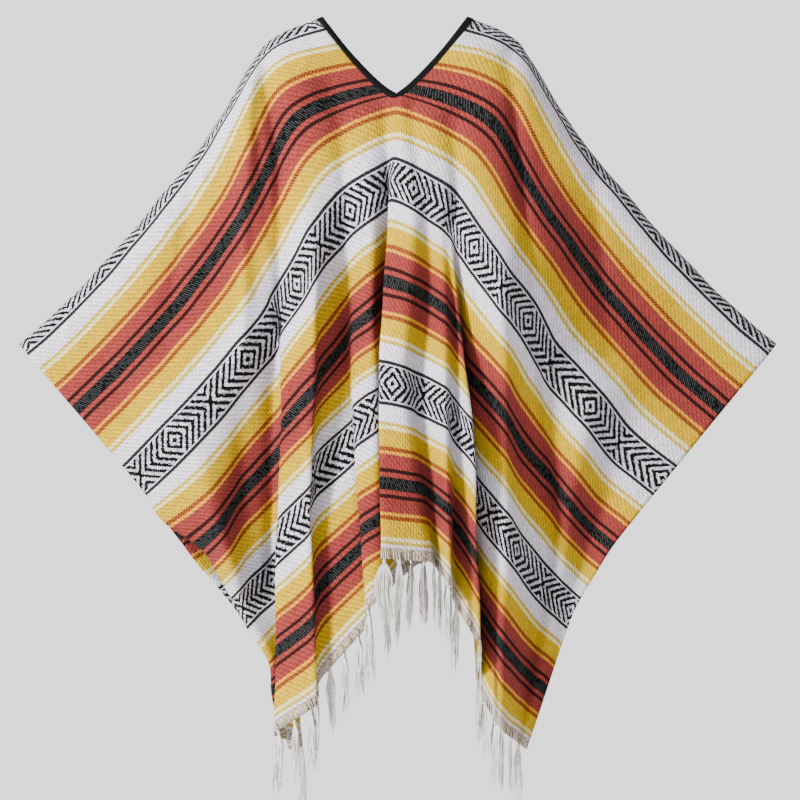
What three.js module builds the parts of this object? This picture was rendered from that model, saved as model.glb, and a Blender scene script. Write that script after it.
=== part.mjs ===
// Serape-style poncho, worn form: one woven cloth folded over the shoulders, with a slit neck
// bound in black tape and a fringe along both hems. Millimetres, +Z up, the front faces -Y.
// The origin lies midway between the two neck points, at the height of the shoulder fold there.
import * as THREE from "three";

// Sizes. The tables below are in units of UNIT mm.
const UNIT = 1.4;
const CLOTH_THICKNESS = 1.5;
const SEAM_GAP = 0.4;
const HALF_S = 457;         // half the cloth's width, from the middle warp to a selvedge
const HEM_T = 591;          // cloth from the shoulder fold to a hem
const SLIT_T = 128;         // slit from the shoulder fold to the point of the V
const NECK_HALF = 10;       // half the cloth that the slit's corner takes up at the shoulder
const NECK_X = 78;          // half the opened neck's width at the shoulder
const NECK_Z = 18;
const NECK_BULGE = 4;       // how far the neck edge bows out between the shoulder and the point
const NECK_SOFT = 9;        // rounding of the V's point
const NECK_ROLL = 33;       // radius of the neck edge over the shoulder
const NECK_ROLL_T = 27;
const POINT_Z = 97;         // the V's point, down from the tables' top
const POINT_Y = -48;
const SOFT_S = 6;           // rounding of the creases across the cloth
const SOFT_T = 12;          // rounding along it
const NECK_BLEND = 50;      // cloth beside the neck edge that follows it
const SLIT_BLEND = 90;      // cloth beside the slit whose columns make room for it
const DRAPE_SOFT = [4, 26]; // rounding across the draped cloth, at its ends and half way down
const DRAPE_FADE = 40;      // cloth above the first diamond band over which that rounding ends
const BAND_SOFT = 45;       // cloth above and below the first diamond band that is softened along it
const BEYOND = 40;          // stretch of straight cloth taken beyond a selvedge
const LEAN_TOP = -4;        // sideways lean of the shoulder line at the neck and at its ends
const LEAN_END = 3;
const EDGE_WIDTH = 90;      // cloth that follows the left selvedge where it swings out or in
const DEPTH_CAP = 58;       // the deepest step between two creases
const COLUMNS = 64;
const BINDING_WIDTH = 8.0;
const BINDING_THICKNESS = 3.2;
const FRINGE_STRIP = 5.0;
const FRINGE_LENGTH = 92;
const FRINGE_BUNCHES = 38;
const FRINGE_WIDTH = 7.0;
const FRINGE_THICKNESS = 1.3;
const FRINGE_ROUND = 2.4;     // a bunch from its front to its back
const FRINGE_DROP = 2;        // how strongly the edge and the bunches turn to hang straight down
const FRINGE_GAP = 0.85;
const FRINGE_SWAY = 3;        // how far a bunch's end may hang to one side
const FRINGE_BEND = 0.06;     // the share of a bunch in which it turns to hang straight down
const FRINGE_CAUGHT = [25, 27, 28];    // bunches, by number, that are caught up inside a fold

// Four levels down the front: first diamond band, black stripe, second diamond band, hem.
const LEVEL_T = [210, 311, 413, 591];
const LEVEL_EDGE_Y = [-42, -42, -38, -24];
const LEVEL_FRONT_Y = [-82, -104, -118, -124];

// Creases from the left selvedge to the right one. The columns are the crease's place across the
// cloth at the four levels, its place across the worn poncho at the same levels, and how the cloth
// goes on to the next crease: 1 goes back, -1 comes forward.
const CREASES = [
  ["left selvedge", -457, -457, -457, -457, -260, -192, -157, -106, -1],
  ["side soft 1", -372, -425, -450, -453, -205, -174, -153, -102, 1],
  ["side soft 2", -300, -372, -425, -449, -154, -157, -141, -98, 1],
  ["side under", -245, -318, -396, -445, -117, -119, -124, -94, 1],
  ["side tuck", -236, -302, -370, -440, -115, -109, -105, -89, -1],
  ["left pleat, outer", -225, -280, -342, -400, -114, -116, -122, -125, -1],
  ["left pleat, inner", -140, -225, -289, -340, -79, -79, -84, -76, 1],
  ["pleat tuck", -130, -212, -262, -318, -75, -80, -88, -80, 1],
  ["valley, outer", -120, -198, -236, -298, -69, -73, -83, -73, 1],
  ["valley, inner", -90, -152, -188, -234, -52, -48, -44, -30, 1],
  ["narrow tuck", -88, -146, -176, -222, -50, -45, -37, -22, -1],
  ["narrow pleat, outer", -84, -138, -162, -207, -48, -47, -46, -32, -1],
  ["narrow pleat, inner", -45, -100, -128, -188, -24, -23, -18, -16, 1],
  ["left tuck, near", -28, -57, -68, -93, -12, -8, 0, 20, 1],
  ["left tuck, far", -17, -43, -54, -77, -5, 4, 14, 36, -1],
  ["front panel, left", -8, 0, 9, 22, -6, -14, -19, -17, -1],
  ["middle", 0, 8, 16, 33, -1, -8, -14, -6, -1],
  ["front panel, crest", 32, 38, 42, 76, 20, 17, 8, 37, 1],
  ["front panel, step", 50, 62, 66, 96, 31, 32, 17, 41, -1],
  ["front panel, slope", 70, 95, 120, 150, 45, 52, 52, 56, 1],
  ["front panel, dip", 76, 112, 140, 186, 49, 57, 56, 57, -1],
  ["front panel, right", 84, 136, 187, 262, 54, 67, 80, 86, 1],
  ["deep right tuck", 92, 176, 245, 310, 57, 64, 70, 82, -1],
  ["right side, inner", 102, 205, 285, 345, 62, 74, 87, 92, -1],
  ["right side, crest", 188, 265, 328, 385, 105, 111, 112, 105, 1],
  ["right side, dip", 241, 300, 362, 405, 132, 124, 127, 115, 1],
  ["right side, soft 1", 290, 356, 400, 430, 150, 161, 147, 123, -1],
  ["right side, soft 2", 347, 385, 430, 445, 195, 173, 163, 128, 1],
  ["right side, soft 3", 400, 425, 445, 452, 222, 195, 171, 130, -1],
  ["right selvedge", 457, 457, 457, 457, 270, 217, 178, 132, 0],
];
const MIDDLE = CREASES.findIndex((row) => row[0] === "middle");

// How far down the cloth lies at the four levels, by its distance from the middle warp.
const DOWN_S = [0, 26, 80, 132, 185, 239, 291, 345, 398, 457, 520];
const DOWN_BAND1 = [179, 188, 213, 246, 286, 319, 360, 405, 442, 481, 522];
const DOWN_BAND2 = [381, 383, 395, 411, 441, 478, 511, 547, 582, 612, 644];
const DOWN_HEM = [556, 557, 561, 578, 598, 632, 672, 706, 734, 750, 767];
const DOWN = [
  DOWN_BAND1,
  DOWN_BAND1.map((down, i) => (down + DOWN_BAND2[i]) / 2),
  DOWN_BAND2,
  DOWN_HEM,
];

// The shoulder and arm line that the cloth is folded over, and the radius it rounds over there.
const LINE_S = [10, 36, 64, 90, 142, 196, 249, 302, 355, 408, 457, 520];
const LINE_X = [78, 104, 128.5, 141, 168.5, 199, 234, 268, 306, 342, 380, 430];
const LINE_DOWN = [18, 28, 42, 61, 109, 153, 195, 236, 276, 312, 344, 385];
const LINE_LOW = LINE_DOWN[LINE_S.indexOf(HALF_S)];
const ROUND_S = [10, 40, 80, 140, 200, 300, 457];
const ROUND = [33, 50, 68, 50, 38, 31, 25];

// Where the left selvedge swings out of its line: the layer, how far out, where down the cloth,
// and over what length.
const EDGE_SWINGS = [
  ["front", 14, 272, 34],
  ["front", -12, 478, 36],
  ["back", 20, 313, 70],
  ["back", -12, 478, 36],
];

// Rows of the mesh down one side of the cloth.
const ROWS = [
  0, 12, 26, 42, 60, 82, 105, 119, 128, 155, 182,
  210, 250, 290, 330, 371, 413, 470, 530, 591,
];

const lerp = (a, b, f) => a + (b - a) * f;
const clamp = (x, low, high) => Math.min(Math.max(x, low), high);

function lookUp(x, xs, ys) {
  if (x <= xs[0]) return ys[0];
  for (let i = 1; i < xs.length; i += 1) {
    if (x <= xs[i]) {
      return lerp(ys[i - 1], ys[i], (x - xs[i - 1]) / Math.max(xs[i] - xs[i - 1], 1e-9));
    }
  }
  return ys[ys.length - 1];
}

function taps(half, step) {
  const list = [];
  for (let g = -half; g <= half + 1e-9; g += step) list.push([g, Math.exp((-g * g) / 2)]);
  const sum = list.reduce((total, tap) => total + tap[1], 0);
  return list.map(([g, w]) => [g, w / sum]);
}
const FINE = taps(3, 0.5);
const COARSE = taps(2, 1);

// The creases' depths: each stretch of cloth keeps its length, so what its width and its fall
// don't use goes into depth. The row is then laid between its two selvedges and the front panel.
function creaseLevel(level) {
  const s = CREASES.map((row) => row[1 + level]);
  const x = CREASES.map((row) => row[5 + level]);
  const down = s.map((place) => lookUp(Math.abs(place), DOWN_S, DOWN[level]));
  const y = [0];
  for (let j = 0; j + 1 < s.length; j += 1) {
    const used = (x[j + 1] - x[j]) ** 2 + (down[j + 1] - down[j]) ** 2;
    const left = Math.max((s[j + 1] - s[j]) ** 2 - used, 0);
    y.push(y[j] + CREASES[j][9] * Math.min(Math.sqrt(left), DEPTH_CAP));
  }
  const panel = CREASES.findIndex((row) => row[0] === "front panel, left");
  const last = s.length - 1;
  const shift = LEVEL_FRONT_Y[level] - y[panel];
  const depth = y.map((value) => value + shift);
  const offLeft = LEVEL_EDGE_Y[level] - depth[0];
  const offRight = LEVEL_EDGE_Y[level] - depth[last];
  for (let j = 0; j <= last; j += 1) {
    if (j < panel) depth[j] += (offLeft * (s[panel] - s[j])) / (s[panel] - s[0]);
    if (j > panel) depth[j] += (offRight * (s[j] - s[panel])) / (s[last] - s[panel]);
  }
  return { s, x, y: depth, down: DOWN[level] };
}
const LEVELS = LEVEL_T.map((t, level) => creaseLevel(level));

// One row of creases at t, softened along the cloth.
function rowAt(t) {
  const row = { s: [], x: [], y: [], down: [] };
  for (const key of Object.keys(row)) row[key] = LEVELS[0][key].map(() => 0);
  for (const [g, w] of COARSE) {
    const at = t + g * SOFT_T;
    let i = 0;
    while (i < 2 && at >= LEVEL_T[i + 1]) i += 1;
    const f = (at - LEVEL_T[i]) / (LEVEL_T[i + 1] - LEVEL_T[i]);
    for (const key of Object.keys(row)) {
      for (let j = 0; j < row[key].length; j += 1) {
        row[key][j] += w * lerp(LEVELS[i][key][j], LEVELS[i + 1][key][j], f);
      }
    }
  }
  // A stretch beyond each selvedge, so that the rounding leaves the selvedges where they are.
  const far = (list, a, b, sA, sB, sNew) => list[a] + ((list[a] - list[b]) * (sNew - sA)) / (sA - sB);
  const end = row.s.length - 1;
  const before = row.s[0] - BEYOND;
  const after = row.s[end] + BEYOND;
  for (const key of ["x", "y"]) {
    const first = far(row[key], 0, 1, row.s[0], row.s[1], before);
    const final = far(row[key], end, end - 1, row.s[end], row.s[end - 1], after);
    row[key] = [first, ...row[key], final];
  }
  row.s = [before, ...row.s, after];
  return row;
}
const rowStore = new Map();
function storedRow(t) {
  const key = Math.round(t * 100);
  if (!rowStore.has(key)) rowStore.set(key, rowAt(t));
  return rowStore.get(key);
}

// The hanging cloth from the first diamond band to the hem.
function hanging(s, t) {
  const row = storedRow(t);
  const p = [0, 0, 0];
  for (const [g, w] of FINE) {
    const at = s + g * SOFT_S;
    p[0] += w * lookUp(at, row.s, row.x);
    p[1] += w * lookUp(at, row.s, row.y);
    p[2] += w * lookUp(Math.abs(at), DOWN_S, row.down);
  }
  return p;
}

// The cloth between the shoulder line and the first diamond band, rounding over what it lies on.
function draped(s, t, side) {
  const out = Math.max(s * side, 0);
  const down = lookUp(out, LINE_S, LINE_DOWN);
  const lean = lerp(LEAN_TOP, LEAN_END, (down - NECK_Z) / (LINE_LOW - NECK_Z));
  const x = side * lookUp(out, LINE_S, LINE_X) + lean;
  const r = lookUp(out, ROUND_S, ROUND);
  const end = hanging(s, LEVEL_T[0]);
  const reach = Math.hypot(end[0] - x, end[2] - down);
  const turn = (r * Math.PI) / 2;
  let along = r * (1 - Math.cos(t / r));
  let y = -r * Math.sin(t / r);
  if (t > turn) {
    const f = (t - turn) / (LEVEL_T[0] - turn);
    along = lerp(r, reach, f);
    y = lerp(-r, end[1], f);
  }
  const part = along / reach;
  return [lerp(x, end[0], part), y, lerp(down, end[2], part)];
}

function drapedSoft(s, t, side) {
  const width = lerp(...DRAPE_SOFT, Math.sin(Math.PI * clamp(t / LEVEL_T[0], 0, 1)) ** 0.8);
  const fade = clamp((LEVEL_T[0] - t) / DRAPE_FADE, 0, 1);
  const p = [0, 0, 0];
  for (const [g, w] of FINE) {
    const q = draped(s + g * width * fade, t, side);
    for (let a = 0; a < 3; a += 1) p[a] += w * q[a];
  }
  return p;
}

const neckHalf = (t) => NECK_HALF * clamp(1 - t / SLIT_T, 0, 1);

// The slit's right edge, and the middle warp below the V's point. The edge first rounds over the
// shoulder, bows out a little and ends in a rounded point.
function neckEdge(t) {
  if (t >= SLIT_T) {
    const f = (t - SLIT_T) / (LEVEL_T[0] - SLIT_T);
    const end = hanging(0, LEVEL_T[0]);
    return [lerp(0, end[0], f), lerp(POINT_Y, end[1], f), lerp(POINT_Z, end[2], f)];
  }
  const turned = Math.min(t, NECK_ROLL_T) / NECK_ROLL;
  const f = Math.max(t - NECK_ROLL_T, 0) / (SLIT_T - NECK_ROLL_T);
  const y = lerp(-NECK_ROLL * Math.sin(turned), POINT_Y, f);
  const low = POINT_Z + NECK_SOFT;
  const z = lerp(NECK_Z + NECK_ROLL * (1 - Math.cos(turned)), low, f);
  const g = (z - NECK_Z) / (low - NECK_Z);
  const x = NECK_X * (1 - g) + 4 * NECK_BULGE * g * (1 - g);
  return [x, y, z - NECK_SOFT * Math.exp(-x / NECK_SOFT)];
}

function frontOnce(s, t, side) {
  if (t >= LEVEL_T[0]) return hanging(s, t);
  const half = neckHalf(t);
  const base = drapedSoft(s, t, side);
  const from = drapedSoft(side * half, t, side);
  const to = neckEdge(t);
  if (t < SLIT_T) to[0] *= side;
  const w = Math.exp(-(((Math.abs(s) - half) / NECK_BLEND) ** 2));
  return base.map((value, a) => value + (to[a] - from[a]) * w);
}

function edgeSwing(layer, s, t) {
  const near = clamp((-s - HALF_S + EDGE_WIDTH) / EDGE_WIDTH, 0, 1) ** 2;
  let out = 0;
  for (const [name, far, at, length] of EDGE_SWINGS) {
    if (name === layer) out += far * near * Math.exp(-(((t - at) / length) ** 2));
  }
  return out;
}

// The front's middle surface in mm, from the place on the cloth. The back's mirrors it.
function front(s, t, side, layer = "front") {
  const blur = SOFT_T * clamp(1 - Math.abs(t - LEVEL_T[0]) / BAND_SOFT, 0, 1);
  const p = [-edgeSwing(layer, s, t), 0, 0];
  for (const [g, w] of blur > 0 ? COARSE : [[0, 1]]) {
    const q = frontOnce(s, t + g * blur, side);
    for (let a = 0; a < 3; a += 1) p[a] += w * q[a];
  }
  return new THREE.Vector3(p[0], p[1], NECK_Z - p[2]).multiplyScalar(UNIT);
}

// Columns of the mesh follow the creases. Each is a crease and a share of the way to the next.
function columnPlaces() {
  const places = [];
  const half = COLUMNS / 2;
  for (const [from, to] of [[0, MIDDLE], [MIDDLE, CREASES.length - 1]]) {
    const counts = [];
    const widths = [];
    for (let j = from; j < to; j += 1) {
      counts.push(1);
      widths.push(Math.max(...LEVELS.map((level) => level.s[j + 1] - level.s[j])));
    }
    while (counts.reduce((a, b) => a + b, 0) < half) {
      const shares = widths.map((width, i) => width / counts[i]);
      counts[shares.indexOf(Math.max(...shares))] += 1;
    }
    counts.forEach((count, i) => {
      for (let k = 0; k < count; k += 1) places.push([from + i, k / count]);
    });
  }
  places.push([CREASES.length - 2, 1]);
  return places;
}
const PLACES = columnPlaces();

function columnS(k, t) {
  const [j, f] = PLACES[k];
  const row = storedRow(Math.max(t, LEVEL_T[0]));
  const inside = lerp(row.s[j + 1], row.s[j + 2], f);
  const own = k === 0 ? -HALF_S : k === COLUMNS ? HALF_S : inside;
  const even = -HALF_S + (2 * HALF_S * k) / COLUMNS;
  const share = clamp(t / LEVEL_T[0], 0, 1);
  return lerp(even, own, share * share * (3 - 2 * share));
}

// Place on the cloth of column k at t, kept clear of the slit.
function placeS(k, t, side) {
  const half = neckHalf(t);
  const raw = k === COLUMNS / 2 && t <= LEVEL_T[0] ? 0 : Math.abs(columnS(k, t));
  if (t >= SLIT_T) return k === COLUMNS / 2 && t <= LEVEL_T[0] ? 0 : columnS(k, t);
  return side * (raw < SLIT_BLEND ? half + (raw * (SLIT_BLEND - half)) / SLIT_BLEND : raw);
}

// The cloth's middle surface as points and quads.
function clothSheet() {
  const points = [];
  const ids = new Map();
  const slitRow = ROWS.indexOf(SLIT_T);
  const id = (face, k, r, side) => {
    let key = `${face} ${k} ${r}`;
    const cut = k === COLUMNS / 2 && r < slitRow;
    if (cut) key += side > 0 ? " right" : " left";
    if (r === 0) key = key.replace(face, "line");
    if (!ids.has(key)) {
      const p = front(placeS(k, ROWS[r], side), ROWS[r], side, face);
      if (face === "back") p.y = -p.y;
      ids.set(key, points.length);
      points.push(p);
    }
    return ids.get(key);
  };
  const quads = [];
  for (const face of ["front", "back"]) {
    for (let k = 0; k < COLUMNS; k += 1) {
      const side = k < COLUMNS / 2 ? -1 : 1;
      for (let r = 0; r + 1 < ROWS.length; r += 1) {
        const a = id(face, k, r, side);
        const b = id(face, k, r + 1, side);
        const c = id(face, k + 1, r + 1, side);
        const d = id(face, k + 1, r, side);
        quads.push(face === "front" ? [a, b, c, d] : [a, d, c, b]);
      }
    }
  }
  return { points, quads };
}

function pointNormals(points, quads) {
  const normals = points.map(() => new THREE.Vector3());
  for (const [a, b, c, d] of quads) {
    const first = points[c].clone().sub(points[a]);
    const n = first.cross(points[d].clone().sub(points[b])).normalize();
    for (const v of [a, b, c, d]) normals[v].add(n);
  }
  return normals.map((n) => n.normalize());
}

// A wall of the given thickness about a middle surface, closed at its edges.
function thickened(points, quads, thickness) {
  const normals = pointNormals(points, quads);
  const count = points.length;
  const flat = [];
  for (const sign of [0.5, -0.5]) {
    points.forEach((p, i) => {
      const q = p.clone().addScaledVector(normals[i], sign * thickness);
      flat.push(q.x, q.y, q.z);
    });
  }
  const index = [];
  const edges = new Map();
  for (const [a, b, c, d] of quads) {
    index.push(a, b, c, a, c, d);
    index.push(a + count, c + count, b + count, a + count, d + count, c + count);
    for (const [u, v] of [[a, b], [b, c], [c, d], [d, a]]) {
      const back = `${v} ${u}`;
      if (edges.has(back)) edges.delete(back);
      else edges.set(`${u} ${v}`, [u, v]);
    }
  }
  for (const [u, v] of edges.values()) {
    if (u < v) index.push(v, u, u + count, v, u + count, v + count);
    else index.push(v, u, v + count, u, u + count, v + count);
  }
  return solid(flat, index);
}

function solid(flat, index) {
  const geometry = new THREE.BufferGeometry();
  geometry.setAttribute("position", new THREE.Float32BufferAttribute(flat, 3));
  geometry.setIndex(index);
  geometry.computeVertexNormals();
  return geometry;
}

function mesh(name, geometry, colour) {
  const material = new THREE.MeshStandardMaterial({ color: colour, roughness: 0.9 });
  material.name = name;
  const made = new THREE.Mesh(geometry, material);
  made.name = name;
  return made;
}

// The black tape around the slit: a closed band beside the cloth's cut edge, in its plane.
// Each section runs from the cloth's edge into the neck opening, up at the V's point.
function bindingGeometry() {
  const stops = ROWS.filter((t) => t < SLIT_T);
  const last = stops[stops.length - 1];
  const section = (outer, inner, normal) => {
    const off = normal.clone().multiplyScalar(BINDING_THICKNESS / 2);
    return [
      outer.clone().add(off),
      inner.clone().add(off),
      inner.clone().sub(off),
      outer.clone().sub(off),
    ];
  };
  const run = (side) => stops.map((t) => {
    const here = front(side * neckHalf(t), t, side);
    const ahead = front(side * neckHalf(t + 2), t + 2, side);
    const beside = front(side * (neckHalf(t) + 5), t, side);
    const along = ahead.sub(here).normalize();
    const inward = here.clone().sub(beside);
    inward.addScaledVector(along, -inward.dot(along)).normalize();
    const normal = side > 0 ? inward.clone().cross(along) : along.clone().cross(inward);
    return section(
      here.clone().addScaledVector(inward, SEAM_GAP),
      here.clone().addScaledVector(inward, SEAM_GAP + BINDING_WIDTH),
      normal.normalize(),
    );
  });
  const point = front(0, SLIT_T, 1);
  const near = front(neckHalf(last), last, 1);
  const edgeRise = near.clone().sub(point).normalize();
  const up = new THREE.Vector3(0, edgeRise.y, edgeRise.z).normalize();
  const open = edgeRise.angleTo(up);
  const tip = section(
    point.clone().addScaledVector(up, SEAM_GAP / Math.sin(open)),
    point.clone().addScaledVector(up, (SEAM_GAP + BINDING_WIDTH) / Math.sin(open)),
    new THREE.Vector3(0, -up.z, up.y).normalize(),
  );
  const right = run(1);
  const left = run(-1).reverse();
  const half = [...right, tip, ...left];
  const mirrored = half.map((four) => four.map((p) => new THREE.Vector3(p.x, -p.y, p.z)));
  const ring = [...half, ...mirrored.reverse().slice(1, -1)];
  const flat = [];
  for (const four of ring) for (const p of four) flat.push(p.x, p.y, p.z);
  const index = [];
  const count = ring.length;
  for (let i = 0; i < count; i += 1) {
    const next = (i + 1) % count;
    for (let j = 0; j < 4; j += 1) {
      const a = i * 4 + j;
      const b = i * 4 + ((j + 1) % 4);
      const c = next * 4 + ((j + 1) % 4);
      const d = next * 4 + j;
      index.push(a, b, c, a, c, d);
    }
  }
  return solid(flat, index);
}

// The knotted edge below a hem with its bunches of warp ends, one closed body.
function fringeGeometry(back) {
  const hem = [];
  for (let k = 0; k <= COLUMNS; k += 1) {
    const side = k < COLUMNS / 2 ? -1 : 1;
    const s = placeS(k, HEM_T, side);
    const here = front(s, HEM_T, side);
    const above = front(s, HEM_T - 8, side);
    hem.push({ s, here, fall: here.clone().sub(above).normalize() });
  }
  const sideways = hem.slice(1).map((entry, k) => {
    const along = entry.here.clone().sub(hem[k].here);
    return hem[k].fall.clone().add(entry.fall).cross(along).normalize();
  });
  hem.forEach((entry, k) => {
    const before = sideways[Math.max(k - 1, 0)];
    const after = sideways[Math.min(k, COLUMNS - 1)];
    entry.normal = before.clone().add(after).normalize();
    entry.hang = entry.fall.clone().add(new THREE.Vector3(0, 0, -FRINGE_DROP)).normalize();
    const top = entry.here.clone().addScaledVector(entry.hang, FRINGE_GAP);
    const low = top.clone().addScaledVector(entry.hang, FRINGE_STRIP);
    entry.faces = [0.5, -0.5].map((sign) => [top, low].map((p) => (
      p.clone().addScaledVector(entry.normal, sign * FRINGE_THICKNESS)
    )));
  });
  // Columns of the edge: the hem's own points, and two more at the root of each bunch.
  const stops = [];
  const spacing = (2 * HALF_S) / FRINGE_BUNCHES;
  let next = -HALF_S + spacing / 2;
  for (let k = 0; k < COLUMNS; k += 1) {
    const width = hem[k + 1].s - hem[k].s;
    stops.push({ k, f: 0, root: false });
    if (hem[k].s + width / 2 >= next - spacing * 0.3 && width > 4) {
      const half = Math.min(0.34, FRINGE_WIDTH / UNIT / 2 / width);
      stops.push({ k, f: 0.5 - half, root: true });
      stops.push({ k, f: 0.5 + half, root: false });
      next = Math.max(next + spacing, hem[k].s + width / 2 + spacing * 0.6);
    }
  }
  stops.push({ k: COLUMNS - 1, f: 1, root: false });
  const at = (stop, pick) => pick(hem[stop.k]).clone().lerp(pick(hem[stop.k + 1]), stop.f);
  const flat = [];
  for (const face of [0, 1]) {
    for (const stop of stops) {
      for (const row of [0, 1]) {
        const p = at(stop, (entry) => entry.faces[face][row]);
        flat.push(p.x, p.y, p.z);
      }
    }
  }
  const count = stops.length * 2;
  const quads = stops.slice(1).map((stop, i) => [2 * i, 2 * i + 1, 2 * i + 3, 2 * i + 2]);
  const roots = stops.map((stop, i) => (stop.root ? i : -1)).filter((i) => i >= 0);
  const kept = roots.filter((i, number) => !FRINGE_CAUGHT.includes(number));
  const index = [];
  const last = stops.length - 1;
  for (const [a, b, c, d] of quads) {
    index.push(a, b, c, a, c, d);
    index.push(a + count, c + count, b + count, a + count, d + count, c + count);
    index.push(d, d + count, a + count, d, a + count, a);
    if (!kept.includes(a / 2)) index.push(b, b + count, c + count, b, c + count, c);
  }
  index.push(0, count, count + 1, 0, count + 1, 1);
  const e = 2 * last;
  index.push(e, e + 1, e + 1 + count, e, e + 1 + count, e + count);
  // Bunches: from a root they turn to hang straight down, wider below the root and thin at the end.
  kept.forEach((i) => {
    const number = roots.indexOf(i);
    const b = 2 * i + 1;
    const c = 2 * i + 3;
    let ring = [b, c, c + count, b + count];
    const corner = (v) => new THREE.Vector3(flat[3 * v], flat[3 * v + 1], flat[3 * v + 2]);
    const corners = ring.map(corner);
    const middle = corners.reduce((sum, p) => sum.add(p), new THREE.Vector3()).divideScalar(4);
    const fall = at(stops[i], (entry) => entry.hang).normalize();
    const wide = corners[1].clone().sub(corners[0]);
    wide.addScaledVector(new THREE.Vector3(0, 0, 1), -wide.z).normalize();
    const thick = new THREE.Vector3(-wide.y, wide.x, 0);
    if (thick.dot(corners[3].clone().sub(corners[0])) < 0) thick.negate();
    const sway = FRINGE_SWAY * Math.sin(number * 2.4);
    const length = FRINGE_LENGTH * (0.93 + 0.07 * Math.cos(number * 1.7));
    const sections = [
      [0.1, FRINGE_WIDTH, 0],
      [0.55, FRINGE_WIDTH * 1.25, sway * 0.5],
      [1, FRINGE_WIDTH * 0.5, sway],
    ];
    for (const [share, width, off] of sections) {
      const centre = middle.clone();
      centre.addScaledVector(fall, length * FRINGE_BEND);
      centre.z -= length * (share - FRINGE_BEND);
      centre.addScaledVector(wide, off);
      const w = width / 2;
      const h = FRINGE_ROUND / 2;
      const made = [[-w, -h], [w, -h], [w, h], [-w, h]].map(([u, v]) => {
        const p = centre.clone().addScaledVector(wide, u).addScaledVector(thick, v);
        flat.push(p.x, p.y, p.z);
        return flat.length / 3 - 1;
      });
      for (let j = 0; j < 4; j += 1) {
        const n = (j + 1) % 4;
        index.push(ring[j], made[j], made[n], ring[j], made[n], ring[n]);
      }
      ring = made;
    }
    index.push(ring[0], ring[3], ring[2], ring[0], ring[2], ring[1]);
  });
  if (back) {
    for (let v = 1; v < flat.length; v += 3) flat[v] = -flat[v];
    index.reverse();
  }
  return solid(flat, index);
}

const group = new THREE.Group();
group.name = "poncho";
const sheet = clothSheet();
const cloth = thickened(sheet.points, sheet.quads, CLOTH_THICKNESS);
group.add(mesh("woven_cloth", cloth, 0xc8a24a));
group.add(mesh("neck_binding", bindingGeometry(), 0x17171a));
group.add(mesh("fringe_front", fringeGeometry(false), 0xd9d4c8));
group.add(mesh("fringe_back", fringeGeometry(true), 0xd9d4c8));
export default group;
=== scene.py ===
"""Looks of the fringed poncho: striped weave, black tape, stitched hems and yarn fringe. Metres, +Z up."""
import bpy
import math
import numpy as np
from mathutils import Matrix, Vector


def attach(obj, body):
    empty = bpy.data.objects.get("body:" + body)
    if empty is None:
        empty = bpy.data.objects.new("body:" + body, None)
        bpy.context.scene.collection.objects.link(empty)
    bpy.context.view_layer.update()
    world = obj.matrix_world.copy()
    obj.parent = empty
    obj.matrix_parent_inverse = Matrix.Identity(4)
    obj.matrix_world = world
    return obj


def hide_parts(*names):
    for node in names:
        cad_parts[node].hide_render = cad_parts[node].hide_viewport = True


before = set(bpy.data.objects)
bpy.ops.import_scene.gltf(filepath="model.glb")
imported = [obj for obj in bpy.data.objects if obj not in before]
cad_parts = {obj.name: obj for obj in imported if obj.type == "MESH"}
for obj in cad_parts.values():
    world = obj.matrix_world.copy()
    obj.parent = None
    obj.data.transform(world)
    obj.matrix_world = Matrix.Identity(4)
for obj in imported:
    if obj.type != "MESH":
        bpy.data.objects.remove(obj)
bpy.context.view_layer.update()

# Camera at the photograph's level view, through a long lens
PIXEL = 0.0014         # metres to a pixel of the photograph
VIEW_SIZE = 800        # pixels across and down
MIDDLE_COLUMN = 395    # pixel column where x is 0
TOP_ROW = 18           # pixel row where z is 0
DISTANCE = 14.0        # from the camera to the plane on which a pixel has that size
PLANE_FORWARD = 0.06   # how far that plane stands before the shoulder line
SENSOR = 36.0
VIEW_END = 60.0
camera_data = bpy.data.cameras.new("camera")
camera = bpy.data.objects.new("camera", camera_data)
bpy.context.collection.objects.link(camera)
camera_data.sensor_width = SENSOR
camera_data.lens = SENSOR * DISTANCE / (VIEW_SIZE * PIXEL)
camera_data.clip_end = VIEW_END
camera.location = (
    (VIEW_SIZE / 2 - MIDDLE_COLUMN) * PIXEL,
    -DISTANCE - PLANE_FORWARD,
    (TOP_ROW - VIEW_SIZE / 2) * PIXEL,
)
camera.rotation_euler = (math.radians(90), 0, 0)
bpy.context.scene.camera = camera

# The cloth's form
# Sizes as in the solids, in units of UNIT metres unless another is named. s is a place across the
# cloth from the middle warp, and t a place down it from the shoulder fold.
UNIT = PIXEL
CLOTH_THICKNESS = 0.0015   # metres
HEM_T = 591.0
HALF_S = 457.0
SLIT_T = 128.0
NECK_HALF = 10.0       # half the cloth that the slit's corner takes up at the shoulder
NECK_X = 78.0          # half the opened neck's width at the shoulder
NECK_Z = 18.0          # the shoulder fold at the neck, down from the tables' top
NECK_BULGE = 4.0       # how far the neck edge bows out between the shoulder and the point
NECK_SOFT = 9.0        # rounding of the V's point
NECK_ROLL = 33.0       # radius of the neck edge over the shoulder
NECK_ROLL_T = 27.0     # how far down that rounding goes
POINT_Z = 97.0         # the V's point, down from the tables' top
POINT_Y = -48.0        # the V's point, from the shoulder fold to the front
SOFT_S = 6.0           # rounding of the creases across the cloth
SOFT_T = 12.0          # rounding along it
NECK_BLEND = 50.0      # cloth beside the neck edge that follows it
SLIT_BLEND = 90        # cloth beside the slit whose columns make room for it
DRAPE_SOFT = 4         # rounding across the draped cloth, at its ends
DRAPE_SOFTER = 22      # how much more half way down
DRAPE_RISE = 0.8       # how quickly that grows from the two ends
DRAPE_FADE = 40        # cloth above the first diamond band over which that rounding ends
BAND_SOFT = 45         # cloth above and below the first diamond band that is softened along it
BEYOND = 40            # stretch of straight cloth taken beyond a selvedge
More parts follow.
